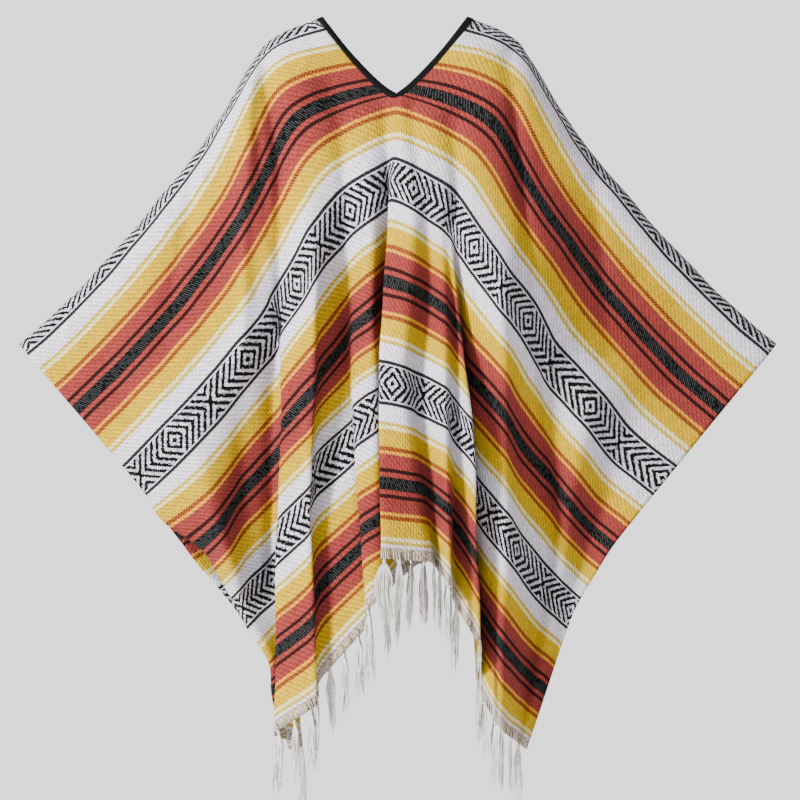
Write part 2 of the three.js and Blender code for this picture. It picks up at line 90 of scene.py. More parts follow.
LEAN_TOP = -4.0        # sideways lean of the shoulder line at the neck and at its ends
LEAN_END = 3.0
DEPTH_CAP = 58.0       # the deepest step between two creases
EDGE_WIDTH = 90.0      # cloth that follows the left selvedge where it swings out or in
BINDING_WIDTH = 0.0088     # metres
BINDING_THICKNESS = 0.0034  # metres

# Four levels down the front: first diamond band, black stripe, second diamond band, hem.
LEVEL_T = np.array([210.0, 311.0, 413.0, 591.0])
LEVEL_EDGE_Y = [-42, -42, -38, -24]
LEVEL_FRONT_Y = [-82, -104, -118, -124]

# Creases from the left selvedge to the right one: the place across the cloth at the four levels,
# the place across the worn poncho at the same levels, and how the cloth goes on to the next crease:
# 1 goes back, -1 comes forward.
CREASES = [
    ("left selvedge", -457, -457, -457, -457, -260, -192, -157, -106, -1),
    ("side soft 1", -372, -425, -450, -453, -205, -174, -153, -102, 1),
    ("side soft 2", -300, -372, -425, -449, -154, -157, -141, -98, 1),
    ("side under", -245, -318, -396, -445, -117, -119, -124, -94, 1),
    ("side tuck", -236, -302, -370, -440, -115, -109, -105, -89, -1),
    ("left pleat, outer", -225, -280, -342, -400, -114, -116, -122, -125, -1),
    ("left pleat, inner", -140, -225, -289, -340, -79, -79, -84, -76, 1),
    ("pleat tuck", -130, -212, -262, -318, -75, -80, -88, -80, 1),
    ("valley, outer", -120, -198, -236, -298, -69, -73, -83, -73, 1),
    ("valley, inner", -90, -152, -188, -234, -52, -48, -44, -30, 1),
    ("narrow tuck", -88, -146, -176, -222, -50, -45, -37, -22, -1),
    ("narrow pleat, outer", -84, -138, -162, -207, -48, -47, -46, -32, -1),
    ("narrow pleat, inner", -45, -100, -128, -188, -24, -23, -18, -16, 1),
    ("left tuck, near", -28, -57, -68, -93, -12, -8, 0, 20, 1),
    ("left tuck, far", -17, -43, -54, -77, -5, 4, 14, 36, -1),
    ("front panel, left", -8, 0, 9, 22, -6, -14, -19, -17, -1),
    ("middle", 0, 8, 16, 33, -1, -8, -14, -6, -1),
    ("front panel, crest", 32, 38, 42, 76, 20, 17, 8, 37, 1),
    ("front panel, step", 50, 62, 66, 96, 31, 32, 17, 41, -1),
    ("front panel, slope", 70, 95, 120, 150, 45, 52, 52, 56, 1),
    ("front panel, dip", 76, 112, 140, 186, 49, 57, 56, 57, -1),
    ("front panel, right", 84, 136, 187, 262, 54, 67, 80, 86, 1),
    ("deep right tuck", 92, 176, 245, 310, 57, 64, 70, 82, -1),
    ("right side, inner", 102, 205, 285, 345, 62, 74, 87, 92, -1),
    ("right side, crest", 188, 265, 328, 385, 105, 111, 112, 105, 1),
    ("right side, dip", 241, 300, 362, 405, 132, 124, 127, 115, 1),
    ("right side, soft 1", 290, 356, 400, 430, 150, 161, 147, 123, -1),
    ("right side, soft 2", 347, 385, 430, 445, 195, 173, 163, 128, 1),
    ("right side, soft 3", 400, 425, 445, 452, 222, 195, 171, 130, -1),
    ("right selvedge", 457, 457, 457, 457, 270, 217, 178, 132, 0),
]
CREASE_NAMES = [row[0] for row in CREASES]

# How far down the cloth lies at the four levels, by its distance from the middle warp.
DOWN_S = [0, 26, 80, 132, 185, 239, 291, 345, 398, 457, 520]
DOWN_BAND1 = [179, 188, 213, 246, 286, 319, 360, 405, 442, 481, 522]
DOWN_BAND2 = [381, 383, 395, 411, 441, 478, 511, 547, 582, 612, 644]
DOWN_HEM = [556, 557, 561, 578, 598, 632, 672, 706, 734, 750, 767]
DOWN_STRIPE = [(a + b) / 2 for a, b in zip(DOWN_BAND1, DOWN_BAND2)]
DOWN = np.array([DOWN_BAND1, DOWN_STRIPE, DOWN_BAND2, DOWN_HEM], float)

# The shoulder and arm line that the cloth is folded over, and the radius it rounds over there.
LINE_S = [10, 36, 64, 90, 142, 196, 249, 302, 355, 408, 457, 520]
LINE_X = [78, 104, 128.5, 141, 168.5, 199, 234, 268, 306, 342, 380, 430]
LINE_DOWN = [18, 28, 42, 61, 109, 153, 195, 236, 276, 312, 344, 385]
LINE_LOW = LINE_DOWN[LINE_S.index(HALF_S)]
ROUND_S = [10, 40, 80, 140, 200, 300, 457]
ROUND = [33, 50, 68, 50, 38, 31, 25]

# Where the left selvedge swings out: how far, where down the cloth, over what length.
FRONT_SWINGS = [(14, 272, 34), (-12, 478, 36)]
BACK_SWINGS = [(20, 313, 70), (-12, 478, 36)]


def taps(half, step):
    """Places and weights of a soft average."""
    g = np.arange(-half, half + 1e-9, step)
    w = np.exp(-g * g / 2)
    return list(zip(g, w / w.sum()))


FINE = taps(3, 0.5)
COARSE = taps(2, 1)


def within(f):
    return min(max(f, 0), 1)


def crease_levels():
    """The creases at the four levels. Each stretch of cloth keeps its length, so what its width and
    its fall don't use goes into depth. A row is then laid between its selvedges and the panel."""
    s = np.array([row[1:5] for row in CREASES], float).T
    x = np.array([row[5:9] for row in CREASES], float).T
    way = np.array([row[9] for row in CREASES[:-1]], float)
    panel = CREASE_NAMES.index("front panel, left")
    y = np.zeros_like(s)
    for level in range(len(LEVEL_T)):
        down = np.interp(np.abs(s[level]), DOWN_S, DOWN[level])
        used = np.diff(x[level]) ** 2 + np.diff(down) ** 2
        step = np.sqrt(np.maximum(np.diff(s[level]) ** 2 - used, 0))
        depth = np.concatenate([[0], np.cumsum(way * np.minimum(step, DEPTH_CAP))])
        depth += LEVEL_FRONT_Y[level] - depth[panel]
        at, here = s[level], s[level][panel]
        left = LEVEL_EDGE_Y[level] - depth[0]
        right = LEVEL_EDGE_Y[level] - depth[-1]
        depth = depth + np.where(at < here, left * (here - at) / (here - at[0]), 0)
        depth = depth + np.where(at > here, right * (at - here) / (at[-1] - here), 0)
        y[level] = depth
    return s, x, y


LEVEL_S, LEVEL_X, LEVEL_Y = crease_levels()


def row_at(t):
    """The creases' places at t, with a stretch of straight cloth beyond each selvedge."""
    s, x, y, down = 0, 0, 0, 0
    for g, w in COARSE:
        at = t + g * SOFT_T
        i = min(max(int(np.searchsorted(LEVEL_T, at, side="right")) - 1, 0), len(LEVEL_T) - 2)
        f = (at - LEVEL_T[i]) / (LEVEL_T[i + 1] - LEVEL_T[i])
        s = s + w * (LEVEL_S[i] * (1 - f) + LEVEL_S[i + 1] * f)
        x = x + w * (LEVEL_X[i] * (1 - f) + LEVEL_X[i + 1] * f)
        y = y + w * (LEVEL_Y[i] * (1 - f) + LEVEL_Y[i + 1] * f)
        down = down + w * (DOWN[i] * (1 - f) + DOWN[i + 1] * f)

    def stretched(a):
        first = a[0] + (a[0] - a[1]) * BEYOND / (s[1] - s[0])
        last = a[-1] + (a[-1] - a[-2]) * BEYOND / (s[-1] - s[-2])
        return np.concatenate([[first], a, [last]])

    x, y = stretched(x), stretched(y)
    return np.concatenate([[s[0] - BEYOND], s, [s[-1] + BEYOND]]), x, y, down


def hanging(s, t):
    """The cloth from the first diamond band down, from its creases."""
    row_s, row_x, row_y, down = row_at(t)
    p = np.zeros((len(s), 3))
    for g, w in FINE:
        at = s + g * SOFT_S
        p[:, 0] += w * np.interp(at, row_s, row_x)
        p[:, 1] += w * np.interp(at, row_s, row_y)
        p[:, 2] += w * np.interp(np.abs(at), DOWN_S, down)
    return p


# The first diamond band's own line, looked up by the cloth above it.
BAND_REACH = 560
BAND_STEP = 0.5
BAND_S = np.arange(-BAND_REACH, BAND_REACH + 0.1, BAND_STEP)
BAND = hanging(BAND_S, LEVEL_T[0])


def draped(s, t, side):
    """The cloth from the shoulder fold to the first diamond band, straight below its rounding."""
    out = np.maximum(s * side, 0)
    down = np.interp(out, LINE_S, LINE_DOWN)
    lean = LEAN_TOP + (LEAN_END - LEAN_TOP) * (down - NECK_Z) / (LINE_LOW - NECK_Z)
    x = side * np.interp(out, LINE_S, LINE_X) + lean
    r = np.interp(out, ROUND_S, ROUND)
    end = np.stack([np.interp(s, BAND_S, BAND[:, a]) for a in range(3)], 1)
    reach = np.hypot(end[:, 0] - x, end[:, 2] - down)
    turn = r * math.pi / 2
    f = (t - turn) / (LEVEL_T[0] - turn)
    along = np.where(t > turn, r + (reach - r) * f, r * (1 - np.cos(t / r)))
    y = np.where(t > turn, -r + (end[:, 1] + r) * f, -r * np.sin(t / r))
    part = along / reach
    return np.stack([x + (end[:, 0] - x) * part, y, down + (end[:, 2] - down) * part], 1)


def draped_soft(s, t, side):
    width = DRAPE_SOFT + DRAPE_SOFTER * math.sin(math.pi * within(t / LEVEL_T[0])) ** DRAPE_RISE
    fade = within((LEVEL_T[0] - t) / DRAPE_FADE)
    return sum(w * draped(s + g * width * fade, t, side) for g, w in FINE)


def neck_half(t):
    """Half the cloth that the slit's opening takes up at t."""
    return NECK_HALF * within(1 - t / SLIT_T)


def neck_edge(t):
    """The slit's right edge, and the middle warp below the V's rounded point."""
    if t >= SLIT_T:
        f = (t - SLIT_T) / (LEVEL_T[0] - SLIT_T)
        start = np.array([0, POINT_Y, POINT_Z])
        return start + (hanging(np.array([0.0]), LEVEL_T[0])[0] - start) * f
    angle = min(t, NECK_ROLL_T) / NECK_ROLL
    f = max(t - NECK_ROLL_T, 0) / (SLIT_T - NECK_ROLL_T)
    roll_y = -NECK_ROLL * math.sin(angle)
    y = roll_y + (POINT_Y - roll_y) * f
    low = POINT_Z + NECK_SOFT
    roll_z = NECK_Z + NECK_ROLL * (1 - math.cos(angle))
    z = roll_z + (low - roll_z) * f
    g = (z - NECK_Z) / (low - NECK_Z)
    x = NECK_X * (1 - g) + 4 * NECK_BULGE * g * (1 - g)
    return np.array([x, y, z - NECK_SOFT * math.exp(-x / NECK_SOFT)])


def front_once(s, t, side):
    if t >= LEVEL_T[0]:
        return hanging(s, t)
    half = neck_half(t)
    base = draped_soft(s, t, side)
    start = draped_soft(np.array([side * half]), t, side)[0]
    to = neck_edge(t)
    if t < SLIT_T:
        to = to * np.array([side, 1, 1])
    w = np.exp(-((np.abs(s) - half) / NECK_BLEND) ** 2)
    return base + (to - start) * w[:, None]


def swing(s, t, swings):
    near = np.clip((-s - HALF_S + EDGE_WIDTH) / EDGE_WIDTH, 0, 1) ** 2
    return near * sum(far * math.exp(-((t - at) / length) ** 2) for far, at, length in swings)


def front(s, t, side, swings=FRONT_SWINGS):
    """The front's middle surface in metres. s is an array of places on one side of the middle."""
    s = np.atleast_1d(np.asarray(s, float))
    blur = SOFT_T * within(1 - abs(t - LEVEL_T[0]) / BAND_SOFT)
    p = sum(w * front_once(s, t + g * blur, side) for g, w in (COARSE if blur > 0 else [(0, 1.0)]))
    return np.stack([p[:, 0] - swing(s, t, swings), p[:, 1], NECK_Z - p[:, 2]], 1) * UNIT


# What turns a point of the front into the back's.
MIRROR = np.array([1.0, -1.0, 1.0])


def turned(path, back):
    return np.asarray(path) * MIRROR if back else np.asarray(path)


# Mesh helpers
def new_piece(name, points, faces, uv=None):
    mesh = bpy.data.meshes.new(name)
    mesh.from_pydata([tuple(p) for p in points], [], faces)
    if uv is not None:
        layer = mesh.uv_layers.new(name="cloth_place")
        loops = np.empty(len(mesh.loops), int)
        mesh.loops.foreach_get("vertex_index", loops)
        layer.data.foreach_set("uv", np.asarray(uv, float)[loops].ravel())
    mesh.polygons.foreach_set("use_smooth", [True] * len(mesh.polygons))
    mesh.update()
    piece = bpy.data.objects.new(name, mesh)
    bpy.context.collection.objects.link(piece)
    return piece


def unit(v):
    return v / np.maximum(np.linalg.norm(v, axis=-1, keepdims=True), 1e-12)


class Tubes:
    """Many small tubes gathered into one mesh."""

    def __init__(self, sides):
        self.sides = sides
        self.points = []
        self.faces = []
        self.uv = []

    def add(self, path, radius, flat=1.0, wide=None, seed=0.0):
        """A tube along path, flattened across the way that is wide. seed tells its yarn from others."""
        path = np.asarray(path, float)
        radius = np.broadcast_to(radius, len(path))
        along = unit(np.gradient(path, axis=0))
        ref = np.array([0.3, 1.0, 0.2]) if wide is None else np.asarray(wide, float)
        one = unit(ref - along * (along @ ref)[:, None])
        two = np.cross(along, one)
        start = len(self.points)
        for k, (p, r) in enumerate(zip(path, radius)):
            for j in range(self.sides):
                a = 2 * math.pi * j / self.sides
                self.points.append(p + one[k] * math.cos(a) * r + two[k] * math.sin(a) * r * flat)
                self.uv.append((seed, k / max(len(path) - 1, 1)))
        for k in range(len(path) - 1):
            for j in range(self.sides):
                n = (j + 1) % self.sides
                a = start + k * self.sides
                b = a + self.sides
                self.faces.append((a + j, a + n, b + n, b + j))
        self.faces.append(tuple(start + j for j in reversed(range(self.sides))))
        end = start + (len(path) - 1) * self.sides
        self.faces.append(tuple(end + j for j in range(self.sides)))

    def piece(self, name):
        return new_piece(name, self.points, self.faces, uv=self.uv)


# The woven cloth
COLUMNS = 216          # even, so that the middle warp is a column
HALF_COLUMNS = COLUMNS // 2
ROWS_FRONT = 108
ROWS = HEM_T * np.linspace(0, 1, ROWS_FRONT + 1)
ROWS[np.argmin(np.abs(ROWS - SLIT_T))] = SLIT_T


def places(t, side):
    """Places across the cloth from the middle outward, on one side."""
    raw = np.linspace(0, HALF_S, HALF_COLUMNS + 1)
    half = neck_half(t)
    return side * np.where(raw < SLIT_BLEND, half + raw * (SLIT_BLEND - half) / SLIT_BLEND, raw)


def cloth_rows():
    """Each row of the sheet from the front hem over the shoulders to the back hem: its place along
    the cloth, its places across it and its points."""
    sheet = []
    for swings, turn, order in ((FRONT_SWINGS, 1, ROWS[::-1]), (BACK_SWINGS, -1, ROWS[1:])):
        for t in order:
            left_s, right_s = places(t, -1)[::-1], places(t, 1)
            left, right = front(left_s, t, -1, swings), front(right_s, t, 1)
            points = np.concatenate([left, right]) * (1, turn, 1)
            sheet.append((-t * turn, np.concatenate([left_s, right_s]), points))
    return sheet


# Soft folds laid over the form, on both faces. Each is how far it stands forward, how far
# it reaches to its left and right, and the line it follows: pairs of the place across and down.
SOFT_FOLDS = [
    (-17, 27, 46, [
        (-76, 34), (-80, 39), (-103, 87), (-122, 117), (-158, 150), (-206, 192), (-235, 222),
    ]),
    (9, 36, 24, [(-104, 40), (-117, 54), (-149, 81), (-193, 114), (-253, 166), (-290, 200)]),
    (-15, 34, 12, [(-262, 225), (-299, 277), (-333, 325), (-371, 376), (-396, 410)]),
    (-10, 16, 24, [(-44, 100), (-48, 123), (-56, 156), (-64, 180), (-86, 213)]),
    (-8, 13, 19, [(-14, 129), (-14, 159), (-12, 192), (-18, 214)]),
    (-7, 9, 13, [(20, 132), (22, 147), (28, 177), (34, 207)]),
    (-10, 12, 22, [(52, 130), (60, 153), (74, 180), (90, 204)]),
    (-11, 22, 42, [
        (64, 36), (71, 57), (101, 87), (135, 111), (172, 138), (219, 178), (286, 232), (339, 295),
        (381, 340),
    ]),
    (-5, 26, 30, [(-213, 34), (-251, 60), (-300, 90), (-340, 125)]),
    (-5, 22, 30, [(212, 36), (236, 60), (285, 105), (330, 150)]),
    (-4, 20, 26, [(-120, 70), (-150, 110), (-180, 150)]),
]
FOLD_CREST = 3.0       # rounding of a soft fold's own line
FOLD_FALL = 1.6        # how quickly a soft fold falls away over its reach
FOLD_END = 32.0        # cloth over which a soft fold dies away at each of its ends
FOLD_NECK = 26         # cloth beside the slit on which the soft folds fade out towards the tape
FOLD_POINT = 14        # cloth below the V's point on which they come back

# Soft unevenness of hanging cloth, in metres, under the large folds.
BROAD_BUMP = 0.0011
SMALL_BUMP = 0.0007


def eased(f):
    return f * f * (3 - 2 * f)


def soft_folds(s, t):
    """How far the soft folds stand forward, at places across and down the front or the back."""
    down = np.abs(t)
    out = np.zeros_like(s)
    for high, left, right, line in SOFT_FOLDS:
        at_s, at_t = np.array(line, float).T
        from_line = s - np.interp(down, at_t, at_s)
        reach = np.where(from_line < 0, left, right)
        across = np.exp(-(np.hypot(from_line, FOLD_CREST) - FOLD_CREST) / reach * FOLD_FALL)
        first = np.clip((down - at_t[0] + FOLD_END) / FOLD_END, 0, 1)
        last = np.clip((at_t[-1] + FOLD_END - down) / FOLD_END, 0, 1)
        along = eased(first) * eased(last)
        out += high * across * along
    # The neck's edge stays where the tape is.
    from_slit = np.abs(s) - NECK_HALF * np.clip(1 - down / SLIT_T, 0, 1)
    beside = np.clip(from_slit / FOLD_NECK, 0, 1)
    below = np.clip((down - SLIT_T) / FOLD_POINT, 0, 1)
    return out * np.maximum(eased(beside), below)


def unevenness(s, t):
    bumps = BROAD_BUMP * np.sin(s / 23 + 1.7 * np.sin(t / 61)) * np.sin(t / 37 + 0.6 * np.sin(s / 41))
    return bumps + SMALL_BUMP * np.sin(s / 9.5 + t / 31) * np.sin(t / 17 - s / 50)


def sheet_quads(ids, whole):
    """The sheet's quads. Its halves share the middle warp on the rows where it is whole."""
    joined = ids.copy()
    joined[whole, HALF_COLUMNS + 1] = ids[whole, HALF_COLUMNS]
    quads = []
    for j in list(range(HALF_COLUMNS)) + list(range(HALF_COLUMNS + 1, ids.shape[1] - 1)):
        a, b = joined[:-1, j], joined[:-1, j + 1]
        c, d = joined[1:, j + 1], joined[1:, j]
        quads.append(np.stack([a, b, c, d], 1))
    return np.concatenate(quads)


def point_normals(points, quads):
    across, along = points[quads[:, 2]] - points[quads[:, 0]], points[quads[:, 3]] - points[quads[:, 1]]
    n = unit(np.cross(across, along))
    normals = np.zeros_like(points)
    for k in range(4):
        np.add.at(normals, quads[:, k], n)
    return unit(normals)


def wall():
    """The cloth as a closed wall: its two faces and the rim between them."""
    sheet = cloth_rows()
    s = np.array([row[1] for row in sheet])
    t = np.array([np.full(s.shape[1], row[0]) for row in sheet])
    p = np.array([row[2] for row in sheet])
    p[:, :, 1] -= np.sign(-t) * soft_folds(s, t) * UNIT
    quads = sheet_quads(np.arange(s.size).reshape(s.shape), np.abs(t[:, 0]) >= SLIT_T - 1e-6)
    flat_p = p.reshape(-1, 3)
    normals = point_normals(flat_p, quads)
    middle = flat_p + normals * unevenness(s, t).reshape(-1, 1)
    used, index = np.unique(quads, return_inverse=True)
    quads = index.reshape(quads.shape)
    middle, normals = middle[used], normals[used]
    uv = np.stack([(s.ravel()[used] + HALF_S) / (2 * HALF_S), (t.ravel()[used] + HEM_T) / (2 * HEM_T)], 1)
    count = len(middle)
    points = np.concatenate([
        middle + normals * CLOTH_THICKNESS / 2,
        middle - normals * CLOTH_THICKNESS / 2,
    ])
    faces = [tuple(q) for q in quads.tolist()]
    faces += [tuple(v + count for v in q[::-1]) for q in quads.tolist()]
    edges = {}
    for q in quads.tolist():
        for u, v in zip(q, q[1:] + q[:1]):
            if (v, u) in edges:
                del edges[(v, u)]
            else:
                edges[(u, v)] = True
    faces += [(v, u, u + count, v + count) for u, v in edges]
    return points, faces, np.concatenate([uv, uv])


points, faces, uv = wall()
cloth = new_piece("poncho_cloth", points, faces, uv=uv)
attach(cloth, "root")
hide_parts("woven_cloth")

# The black tape
TAPE_STOPS = np.concatenate([  # places down the slit, closer together near its ends
    np.linspace(0, 36, 13),
    np.linspace(42, SLIT_T - 12, 20),
    SLIT_T - np.array([9, 6, 3]),
])
TAPE_OVER = 0.0012     # metres by which the tape laps over the cloth's edge
# The tape's section: shares of its width from its outer edge inward, and of its thickness outward.
TAPE_SECTION = [
    (0.0, 0.30), (0.06, 0.50), (0.5, 0.54), (0.94, 0.50), (1.0, 0.28),
    (1.0, -0.28), (0.94, -0.50), (0.5, -0.54), (0.06, -0.50), (0.0, -0.30),
]
STITCH_IN = 0.0016     # metres from the tape's outer edge to its row of stitches
STITCH_OUT = 0.53      # share of the tape's thickness at which a stitch lies
STITCH_STEP = 0.0042   # metres from one stitch to the next, and a stitch's length
STITCH_LONG = 0.0027
STITCH_LAST = 0.004    # the row ends this far short of its start
STITCH_RADII = [0.00012, 0.00035, 0.00035, 0.00012]


def neck_tape():
    """The tape's run round the slit: the cloth's edge, the way inward and the way out."""
    def run(side):
        made = []
        for t in TAPE_STOPS:
            half = side * neck_half(t)
            here = front(half, t, side)[0]
            ahead = front(side * neck_half(t + 2), t + 2, side)[0]
            beside = front(half + side * 5, t, side)[0]
            along = unit(ahead - here)
            inward = here - beside
            inward = unit(inward - along * (inward @ along))
            normal = np.cross(inward, along) if side > 0 else np.cross(along, inward)
            made.append((here, inward, unit(normal)))
        return made

    point = front(0.0, SLIT_T, 1)[0]
    rise = unit(front(0.0, SLIT_T - 20, 1)[0] - front(0.0, SLIT_T + 4, 1)[0])
    up = unit(np.array([0, rise[1], rise[2]]))
    tip = (point, up, unit(np.array([0, -up[2], up[1]])))
    half = run(1) + [tip] + run(-1)[::-1]
    mirrored = [(p * MIRROR, inward * MIRROR, normal * MIRROR) for p, inward, normal in half]
    return half + mirrored[::-1][1:-1]


tape = neck_tape()
points, uv = [], []
for k, (p, inward, normal) in enumerate(tape):
    for across, off in TAPE_SECTION:
        reach = -TAPE_OVER + across * (BINDING_WIDTH + TAPE_OVER)
        points.append(p + inward * reach + normal * off * BINDING_THICKNESS)
        uv.append((across, k / len(tape)))
faces = []
sides = len(TAPE_SECTION)
for k in range(len(tape)):
    n = (k + 1) % len(tape)
    for j in range(sides):
        m = (j + 1) % sides
        faces.append((k * sides + j, k * sides + m, n * sides + m, n * sides + j))
binding = new_piece("neck_tape", points, faces, uv=uv)
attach(binding, "root")
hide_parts("neck_binding")

# A row of small stitches along the tape, on both of its faces.
stitches = Tubes(4)
centres = [(p + inward * (STITCH_IN - TAPE_OVER), normal) for p, inward, normal in tape]
for face in (1, -1):
    path = np.array([p + n * face * (BINDING_THICKNESS * STITCH_OUT) for p, n in centres + centres[:1]])
    steps = np.concatenate([[0], np.cumsum(np.linalg.norm(np.diff(path, axis=0), axis=1))])
    for start in np.arange(0, steps[-1] - STITCH_LAST, STITCH_STEP):
        at = np.linspace(start, start + STITCH_LONG, len(STITCH_RADII))
        stitch = np.stack([np.interp(at, steps, path[:, a]) for a in range(3)], 1)
        stitches.add(stitch, STITCH_RADII)
tape_stitches = stitches.piece("tape_stitches")
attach(tape_stitches, "root")

# Hems and fringe
# Sizes in metres, apart from places across and down the cloth.
SOLID_COLUMNS = 64     # columns of the solids, whose strands the bunches follow
FRINGE_BUNCHES = 38    # parts of the hem, each the distance between bunches
FRINGE_CAUGHT = [25, 27, 28]  # bunches, by number, that are caught up inside a fold
ROOT_EARLY = 0.3       # share of it by which a bunch may come early
ROOT_LATE = 0.6        # least share of it before the next bunch
ROOT_NARROW = 4        # narrowest column that holds a bunch
FRINGE_LENGTH = 0.092  # the longest bunch
FRINGE_SHARE = 0.93    # a bunch's length as a share of it, and how far that goes up and down
FRINGE_CHANGE = 0.07
FRINGE_SWAY = 0.003    # how far a bunch's end may hang to one side
FRINGE_DROP = 2.0      # how strongly a bunch turns to hang straight down
FRINGE_BEND = 0.07     # share of a strand in which it turns
BUNCH_WIDTH = 0.0112
BUNCH_TOP = 0.2        # share of that width at the knot
BUNCH_OPEN = 0.3       # share of a strand in which the bunch opens
BUNCH_CLOSE = 0.35     # share after which it narrows or stays
BUNCH_LOW = (0.45, 0.85)  # its width at the end, as a share
BUNCH_BEND = 0.004     # how far a bunch curves aside
STRANDS = 11
CURTAIN = 19           # the bunch at the front panel's left, spread out like a curtain
CURTAIN_BROAD = 2.4    # how many times as broad it is
FORK = 0.0035          # how far the two halves of a forked bunch part
FORK_SHARE = 0.4       # share of the bunches that fork
FORK_START = 0.45      # share of a strand after which they part
ROOT_DOWN = 0.001
# The knot that gathers a bunch: the distance below its root, and the radius there.
KNOT = [(-0.0015, 0.0009), (0.0008, 0.0021), (0.003, 0.0026), (0.0052, 0.0021), (0.0068, 0.0011)]
KNOT_FLAT = 0.8
STRAND_TOP = 0.006
STRAND_STEPS = 12
STRAND_RADIUS = 0.00074
STRAND_THIN = 0.45     # share of the radius that a strand loses towards its end
STRAND_TIP = 0.0002
STRAND_FLAT = 0.6
STRAND_CURL = 0.0007   # how far a strand curls across and out of its bunch
STRAND_LIFT = 0.0010
FULL_TURN = 6.28
HEM_ABOVE = 8          # places above and beside a point of the hem that give its directions
HEM_BESIDE = 1.5
OVERCAST_STEP = 2.9    # cloth from one overcast stitch to the next
OVERCAST_INSET = 2     # cloth left free at a selvedge
OVERCAST_DEPTH = (8.0, 12.5)  # how far up the cloth a stitch reaches
OVERCAST_LEAN = (1.0, 2.4)  # how far it leans
OVERCAST_MIDDLE = 3    # cloth at the middle warp on which it doesn't lean
OVERCAST_OUT = 0.00035  # how far it stands off the cloth
OVERCAST_TUCK = 0.0003  # and how far its ends are tucked back in
OVERCAST_ROUND = 0.9   # share of that distance that it keeps as it goes round the edge
OVERCAST_BELOW = 0.0004  # how far below the edge it passes
OVERCAST_RADII = [0.0003, 0.00055, 0.00055, 0.00055, 0.00055, 0.0003]


def solid_places():
    """Places across the cloth of the solids' columns at the hem."""
    middle = CREASE_NAMES.index("middle")
    out = []
    for first, last in ((0, middle), (middle, len(CREASES) - 1)):
        counts = [1] * (last - first)
        widths = [
            max(LEVEL_S[level][j + 1] - LEVEL_S[level][j] for level in range(len(LEVEL_T)))
            for j in range(first, last)
        ]
        while sum(counts) < SOLID_COLUMNS // 2:
            shares = [w / c for w, c in zip(widths, counts)]
            counts[shares.index(max(shares))] += 1
        for i, count in enumerate(counts):
            out += [(first + i, k / count) for k in range(count)]
    row_s = row_at(HEM_T)[0]
    made = [row_s[j + 1] + (row_s[j + 2] - row_s[j + 1]) * f for j, f in out] + [HALF_S]
    made[0] = -HALF_S
    return made


def bunch_places():
    """Places across the hem of the bunches, each in the middle of a column of the solids."""
    hem = solid_places()
    spacing = 2 * HALF_S / FRINGE_BUNCHES
    after = -HALF_S + spacing / 2
    made = []
    for k in range(SOLID_COLUMNS):
        width = hem[k + 1] - hem[k]
        middle = hem[k] + width / 2
        if middle >= after - spacing * ROOT_EARLY and width > ROOT_NARROW:
            made.append(middle)
            after = max(after + spacing, middle + spacing * ROOT_LATE)
    return made


def hem_frame(s):
    """A point of the hem, the way down, the way across and the way out of the cloth."""
    side = 1 if s >= 0 else -1
    here, above = front(s, HEM_T, side)[0], front(s, HEM_T - HEM_ABOVE, side)[0]
    beside = front(s + HEM_BESIDE, HEM_T, side)[0] - front(s - HEM_BESIDE, HEM_T, side)[0]
    fall = unit(here - above)
    out = unit(np.cross(fall, unit(beside)))
    return here, fall, unit(beside), out


random = np.random.default_rng(7)
BUNCHES = bunch_places()


def add_bunch(yarns, number, back):
    """A knot under the hem and the strands that it gathers."""
    here, fall, across, _ = hem_frame(BUNCHES[number])
    hang = unit(fall + np.array([0, 0, -FRINGE_DROP]))
    flat_across = unit(across * np.array([1, 1, 0]))
    deep = np.array([-flat_across[1], flat_across[0], 0])
    wide_way = turned([flat_across], back)[0]
    length = FRINGE_LENGTH * (FRINGE_SHARE + FRINGE_CHANGE * math.cos(number * 1.7))
    sway = FRINGE_SWAY * math.sin(number * 2.4)
    root = here + hang * ROOT_DOWN
    knot = [root + hang * down for down, _ in KNOT]
    yarns.add(turned(knot, back), [radius for _, radius in KNOT], flat=KNOT_FLAT, wide=wide_way,
              seed=random.random())
    fork = FORK if random.random() < FORK_SHARE else 0.0
    wide_low = random.uniform(*BUNCH_LOW)
    bend = random.uniform(-BUNCH_BEND, BUNCH_BEND)
    phase = random.uniform(0, FULL_TURN)
    broad = CURTAIN_BROAD if number == CURTAIN and not back else 1.0
    strands = int(STRANDS * broad)
    for i in range(strands):
        spread = (i + 0.5) / strands - 0.5 + random.uniform(-0.04, 0.04)
        reach = length * random.uniform(0.8, 1.02) * (1 - 0.3 * abs(spread) * (broad == 1.0))
        wave = random.uniform(0, FULL_TURN)
        path, radius = [], []
        for k in range(STRAND_STEPS + 1):
            f = k / STRAND_STEPS
            p = root + hang * (STRAND_TOP + min(f, FRINGE_BEND) * reach)
            p = p + np.array([0, 0, -1]) * max(f - FRINGE_BEND, 0) * reach
            opened = BUNCH_TOP + (1 - BUNCH_TOP) * min(f / BUNCH_OPEN, 1) ** 0.7
            closed = 1 + (wide_low - 1) * max(f - BUNCH_CLOSE, 0) / (1 - BUNCH_CLOSE)
            wide = BUNCH_WIDTH * broad * opened * closed
            curl = STRAND_CURL * math.sin(wave + f * 9) * min(f * 4, 1)
            curve = curl + bend * math.sin(phase + f * 3.6) * f
            split = fork * max(f - FORK_START, 0) / (1 - FORK_START) * (1 if spread > 0 else -1)
            p = p + flat_across * (spread * wide + split + sway * f * f + curve)
            p = p + deep * (STRAND_LIFT * math.sin(wave * 1.7 + i + f * 5) * min(f * 3, 1))
            path.append(p)
            radius.append(STRAND_RADIUS * (1 - STRAND_THIN * f ** 3) if k < STRAND_STEPS else STRAND_TIP)
        yarns.add(turned(path, back), radius, flat=STRAND_FLAT, wide=wide_way, seed=random.random())


